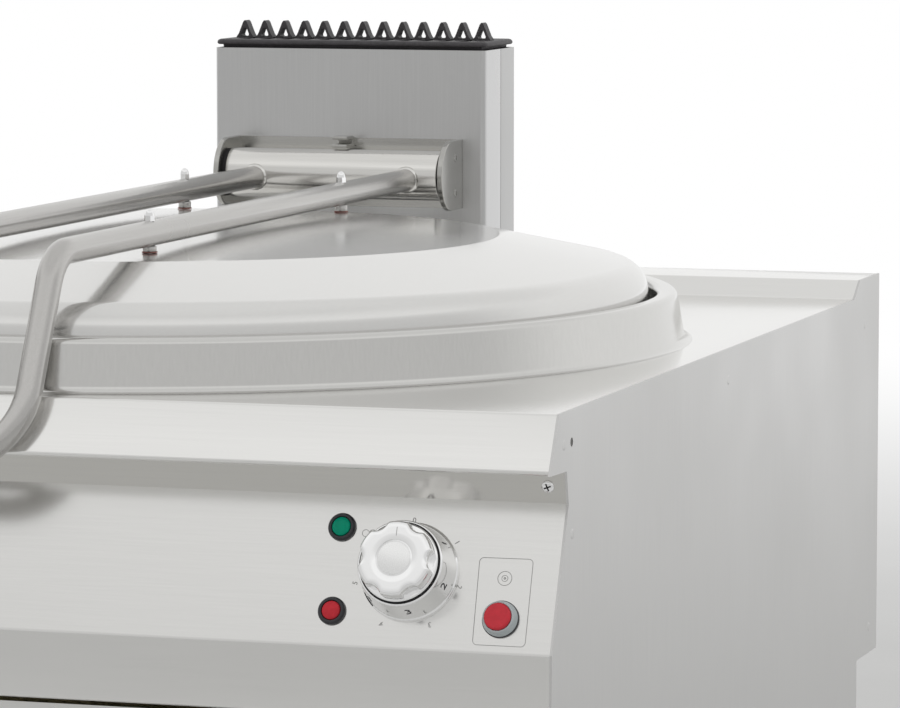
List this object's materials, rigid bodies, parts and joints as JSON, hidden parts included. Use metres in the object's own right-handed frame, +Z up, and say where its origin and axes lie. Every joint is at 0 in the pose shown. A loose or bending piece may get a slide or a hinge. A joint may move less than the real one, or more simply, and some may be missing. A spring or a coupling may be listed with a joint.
{
  "type": "cooking kettle",
  "caption": "Floor-standing square cabinet with a round jacketed boiling pan, hinged domed lid with bent tube handle, control knob, drain tap and flue column.",
  "frame": {"origin": "on the floor, in the middle of the width and of the overall depth", "axes": "+X to the right seen from the front, +Y to the back, +Z up"},
  "size_m": [0.8, 0.9514, 1.1035],
  "materials": {
    "worktop_steel": "fine brushed stainless steel",
    "panel_steel": "brushed stainless steel, satin",
    "collar_steel": "spun and brushed stainless steel",
    "lid_steel": "spun stainless steel, nearly mirror bright on the crown",
    "handle_steel": "polished stainless steel tube",
    "chrome": "bright chrome plate",
    "frame_steel": "mill-finish stainless tube",
    "pot_steel": "polished stainless steel",
    "mineral_wool": "mineral wool blanket",
    "brass_chrome": "chrome-plated brass casting",
    "brass": "machined brass",
    "black_plastic": "black heat-resistant plastic",
    "cast_black": "enamelled cast iron",
    "spring_steel": "oiled spring steel",
    "bronze": "sintered bronze",
    "copper_washer": "reddish sealing washer",
    "green_plastic": "clear green plastic",
    "red_plastic": "clear red plastic",
    "button_red": "red plastic",
    "grey_plastic": "grey plastic",
    "foot_steel": "satin stainless steel",
    "beige_plastic": "pale plastic"
  },
  "bodies": {
    "cabinet": {"worktop": "worktop_steel", "side_panel_left": "panel_steel", "side_panel_right": "panel_steel", "front_strip": "panel_steel", "control_panel": "panel_steel", "front_panel": "panel_steel", "back_panel": "panel_steel", "base_panel": "panel_steel", "frame": "frame_steel", "leg_sleeves": "foot_steel", "collar": "collar_steel", "pot": "pot_steel", "drain_strainer": "pot_steel", "jacket": "pot_steel", "insulation": "mineral_wool", "heating_elements": "pot_steel", "element_cover": "frame_steel", "drain_pipe": "pot_steel", "drain_valve_body": "brass_chrome", "drain_valve_nut": "brass_chrome", "vent_pipe": "pot_steel", "safety_valve": "brass", "fill_pipe": "pot_steel", "water_valve": "brass", "cable_gland": "black_plastic", "flue_front": "panel_steel", "flue_back": "panel_steel", "flue_grille": "cast_black", "hinge_bracket": "panel_steel", "hinge_axle": "frame_steel", "balance_spring": "spring_steel", "machine_screws": "chrome", "knob_dial_ring": "chrome", "energy_regulator": "grey_plastic", "lamp_holders": "black_plastic", "green_lens": "green_plastic", "red_lens": "red_plastic", "button_ring": "grey_plastic", "button_switch": "black_plastic", "button_spring": "spring_steel", "component_plate": "frame_steel", "contactors": "grey_plastic", "terminal_block": "beige_plastic"},
    "lid": {"lid_shell": "lid_steel", "lid_studs": "chrome", "stud_washers": "copper_washer", "dome_nuts": "chrome", "handle_tube": "handle_steel", "hinge_tube": "handle_steel", "hinge_bushes": "bronze"},
    "tap_plug": {"drain_plug": "brass", "drain_lever": "brass_chrome", "drain_grip": "black_plastic"},
    "regulator_knob": {"knob": "chrome", "regulator_shaft": "frame_steel"},
    "push_button": {"push_button": "button_red"},
    "foot_front_left": {"foot_front_left": "foot_steel"},
    "foot_front_right": {"foot_front_right": "foot_steel"},
    "foot_rear_left": {"foot_rear_left": "foot_steel"},
    "foot_rear_right": {"foot_rear_right": "foot_steel"}
  },
  "joints": [
    {"name": "lid_hinge", "type": "hinge", "parent": "cabinet", "child": "lid", "pos_m": [0, 0.36325, 0.9885], "axis": [-1, 0, 0], "range_deg": [0, 85]},
    {"name": "drain_tap_turn", "type": "hinge", "parent": "cabinet", "child": "tap_plug", "pos_m": [0, -0.44575, 0.408], "axis": [0, 0, -1], "range_deg": [0, 90]},
    {"name": "knob_turn", "type": "hinge", "parent": "cabinet", "child": "regulator_knob", "pos_m": [0.305, -0.40163, 0.79953], "axis": [0, 0.9248, -0.3805], "range_deg": [0, 224]},
    {"name": "button_press", "type": "slide", "parent": "cabinet", "child": "push_button", "axis": [0, 0.9248, -0.3805], "range_m": [0, 0.004], "stiffness_N_per_m": 400, "deforming": ["button_spring"]},
    {"name": "foot_front_left_height", "type": "slide", "parent": "cabinet", "child": "foot_front_left", "axis": [0, 0, 1], "range_m": [-0.03, 0]},
    {"name": "foot_front_right_height", "type": "slide", "parent": "cabinet", "child": "foot_front_right", "axis": [0, 0, 1], "range_m": [-0.03, 0]},
    {"name": "foot_rear_left_height", "type": "slide", "parent": "cabinet", "child": "foot_rear_left", "axis": [0, 0, 1], "range_m": [-0.03, 0]},
    {"name": "foot_rear_right_height", "type": "slide", "parent": "cabinet", "child": "foot_rear_right", "axis": [0, 0, 1], "range_m": [-0.03, 0]}
  ]
}
